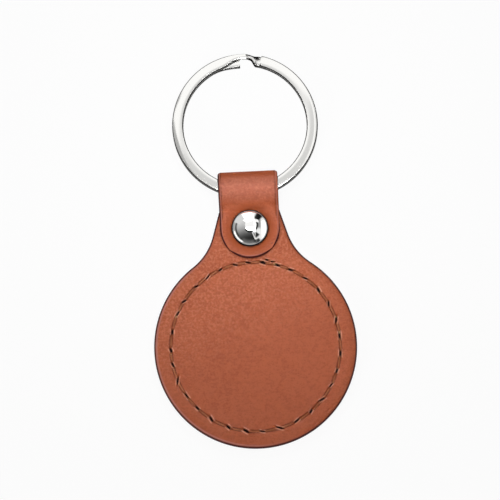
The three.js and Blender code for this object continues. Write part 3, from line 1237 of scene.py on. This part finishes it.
# 1 for what is looked at or mirrored, 0 for light on its way
def seenRays(tree):
    rays = tree.nodes.new("ShaderNodeLightPath")
    seen = Wire(tree, rays.outputs["Is Camera Ray"])
    for name in ("Is Glossy Ray", "Is Transmission Ray"):
        seen = seen.sum("MAXIMUM", seen, Wire(tree, rays.outputs[name]))
    return seen


def setSurface(finish, wire):
    output = finish.node_tree.nodes["Material Output"]
    wire.feed(output, {"Surface": wire})


def tableFinish():
    finish, shader, place = newFinish("white_table")
    paper = studio["paper"]
    place.feed(shader, {
        "Base Color": place.noise(paper["grain"]).paint(paper["dark"], paper["light"]),
        "Roughness": 0.9,
        "Specular IOR Level": 0.0,
    })
    seen = seenRays(finish.node_tree)
    lit = Wire(finish.node_tree, shader.outputs["BSDF"])
    glow = seen.add("ShaderNodeEmission", {}, {"Color": white, "Strength": 1.0})
    shares = {0: seen * studio["tableGlow"], 1: lit, 2: glow}
    setSurface(finish, seen.add("ShaderNodeMixShader", {}, shares))
    return finish


def makeTable():
    shape = bmesh.new()
    bmesh.ops.create_grid(shape, x_segments=8, y_segments=8, size=studio["tableSize"])
    moveAll(shape, (0, 0, cadBox[0].z - studio["tableDrop"]))
    table = addObject("table", meshOf(shape, "table"))
    table.data.materials.append(tableFinish())


def makeLight(name, spec):
    lamp = bpy.data.lights.new(name, "AREA")
    lamp.shape = "DISK"
    lamp.size = spec["size"]
    lamp.energy = spec["power"]
    holder = addObject(name, lamp)
    holder.location = spec["place"]
    towards = Vector(spec["aim"]) - Vector(spec["place"])
    holder.rotation_euler = towards.to_track_quat("-Z", "Y").to_euler()
    holder.visible_camera = False
    holder.visible_glossy = False  # gloss sees the sky and the cards instead


def makeSky():
    sky = bpy.data.worlds.new("studio")
    sky.use_nodes = True
    bpy.context.scene.world = sky
    seen = seenRays(sky.node_tree)
    level = seen + (1 - seen) * studio["skyLevel"]
    seen.feed(sky.node_tree.nodes["Background"], {"Color": white, "Strength": level})


# cards that only gloss sees: two over the ring, the rest round the rivet
capSpot = Vector((0, rivetY + discY, capHigh.z)) * mm
ceiling = dict(
    height=0.10,
    across=(-0.2, 0.04),
    along=(-0.13, 0.25),
    cuts=(160, 120),
    low=1.0,
    high=1.5,
    edge=(0.054, 0.062),
    skew=0.35,
    rightEdge=(0.027, 0.033),
    strip=dict(across=0.028, along=(-0.012, 0.014), soft=0.005, shade=34.0),  # lamp above the strap
    nearFade=(-0.035, 0.005),
    nearShade=0.05,
)
shelf = dict(size=(0.035, 0.03), place=(0.0575, 0.07, ceiling["height"]), shade=1.0)
bulb = dict(place=(0.05, 0.135))  # bright spot on the cap, in shares of its radius
domeGain = 1.64  # how far out on the cap a normal stands
screens = dict(
    left=dict(reach=0.09, around=(143, 292), tilt=(22, 84), steps=64),
    right=dict(reach=1.4, around=(-68, 70), tilt=(22, 84), steps=64),
)
patches = dict(
    leftGlow=dict(reach=1.45, around=(165, 255), tilt=(44, 73), steps=12, shade=2.5),
    upper=dict(reach=0.09, around=(116, 152), tilt=(45, 85), steps=12, shade=0.72),
    rear=dict(reach=1.45, around=(62, 130), tilt=(75, 89), steps=12, shade=0.08),
)


# shade that the cap shows at a place on its face, in shares of its radius
def capShows(x, y):
    reach = math.hypot(x, y)
    turn = math.degrees(math.atan2(y, x)) % 360
    toBulb = math.hypot(x - bulb["place"][0], y - bulb["place"][1])
    if 120 < turn < 290:  # left half
        shade = 0.02 + 0.68 * smoothStep(-0.75, 0.55, y - 0.25 * x) ** 1.6
        shade += 0.12 * smoothStep(0.6, 0.85, reach) * within(235, 285, 8, turn)  # near foot
        shade += 0.25 * smoothStep(0.84, 0.92, reach) * within(240, 300, 6, turn)
        shade += (0.4 - shade) * within(140, 200, 6, turn) * smoothStep(0.84, 0.9, reach)  # grey rim
        shade *= 1 - 0.96 * within(146, 215, 8, turn) * bell(reach - 0.79, 0.055)  # line inside it
        shade *= 1 - 0.9 * within(205, 290, 12, turn) * (1 - smoothStep(0.38, 0.5, toBulb))
        return shade + 1.2 * within(190, 240, 5, turn) * within(0.85, 0.96, 0.03, reach)
    turn = (turn + 180) % 360 - 180
    shade = 0.9 - 0.55 * within(0.42, 0.6, 0.05, x) * within(-0.05, 0.75, 0.1, y)  # upright stripe
    shade *= smoothStep(0.38, 0.45, toBulb)  # dark round the bright spot
    shade *= 1 - 0.97 * within(38, 64, 4, turn) * smoothStep(0.5, 0.62, reach)  # dark corners
    shade *= 1 - 0.96 * within(-64, -38, 3, turn) * within(0.38, 0.66, 0.05, reach)
    shade *= 1 - 0.96 * within(-75, -52, 4, turn) * smoothStep(0.7, 0.78, reach)
    return max(shade, 1.2 * smoothStep(0.57, 0.64, x) * within(-50, 30, 4, turn), 0.01)


def screenShade(spot):
    normal = (spot.normalized() + toEye).normalized()
    return capShows(normal.x * domeGain, normal.y * domeGain)


def ceilingShade(spot):
    bright = max(
        smoothStep(*ceiling["edge"], spot.y - ceiling["skew"] * spot.x),
        smoothStep(*ceiling["rightEdge"], spot.x),
    )
    strip = ceiling["strip"]
    lamp = within(*strip["along"], strip["soft"], spot.y)
    lamp *= within(-strip["across"], strip["across"], strip["soft"], spot.x)
    fade = ceiling["nearShade"] + (1 - ceiling["nearShade"]) * smoothStep(*ceiling["nearFade"], spot.y)
    shade = ceiling["low"] * fade + (ceiling["high"] - ceiling["low"]) * bright
    return shade + (strip["shade"] - ceiling["low"]) * lamp


def cardFinish():
    finish, _, place = newFinish("gloss_card")
    glow = {"Color": place.mark("shade"), "Strength": 1.0}
    setSurface(finish, place.add("ShaderNodeEmission", {}, glow))
    return finish


# part of a sphere round the rivet
def skyPatch(spec):
    tilts = spread(*[math.radians(t) for t in spec["tilt"]], spec["steps"])
    shape = profileLine([(spec["reach"] * math.sin(t), spec["reach"] * math.cos(t)) for t in tilts])
    first, last = [math.radians(a) for a in spec["around"]]
    turnAll(shape, Matrix.Rotation(first, 3, "Z"))
    bmesh.ops.spin(
        shape,
        geom=shape.verts[:] + shape.edges[:],
        cent=(0, 0, 0),
        axis=(0, 0, 1),
        angle=last - first,
        steps=2 * spec["steps"],
    )
    return shape


def makeCard(shape, name, shadeAt, finish, move):
    shade = shape.verts.layers.float.new("shade")
    for v in shape.verts:
        v[shade] = shadeAt(v.co)
    moveAll(shape, move)
    card = addObject("card_" + name, meshOf(shape, "card_" + name))
    card.data.materials.append(finish)
    card.visible_camera = False
    card.visible_diffuse = False
    card.visible_shadow = False


def makeCards():
    finish = cardFinish()
    (left, right), (near, far) = ceiling["across"], ceiling["along"]
    roof = flatGrid((right - left, far - near), ceiling["cuts"])
    moveAll(roof, ((left + right) / 2, (near + far) / 2, 0))
    makeCard(roof, "ceiling", ceilingShade, finish, (0, 0, ceiling["height"]))
    makeCard(flatGrid(shelf["size"]), "shelf", lambda spot: shelf["shade"], finish, shelf["place"])
    # the screens leave a round window where the bright spot is
    middle = Vector((*bulb["place"], 0)) / domeGain
    middle.z = math.sqrt(1 - middle.length_squared)
    mirrored = 2 * middle.dot(toEye) * middle - toEye
    window = Vector((0, 0, 1)).rotation_difference(mirrored).to_matrix()
    for name, spec in screens.items():
        screen = skyPatch(spec)
        turnAll(screen, window)
        makeCard(screen, name, screenShade, finish, capSpot)
    for name, spec in patches.items():
        makeCard(skyPatch(spec), name, lambda spot, shade=spec["shade"]: shade, finish, capSpot)


makeTable()
makeLight("panel", studio["panel"])
makeLight("fill", studio["fill"])
makeSky()
makeCards()
bpy.context.scene.view_settings.view_transform = "Standard"
print("studio: table, lights, cards")
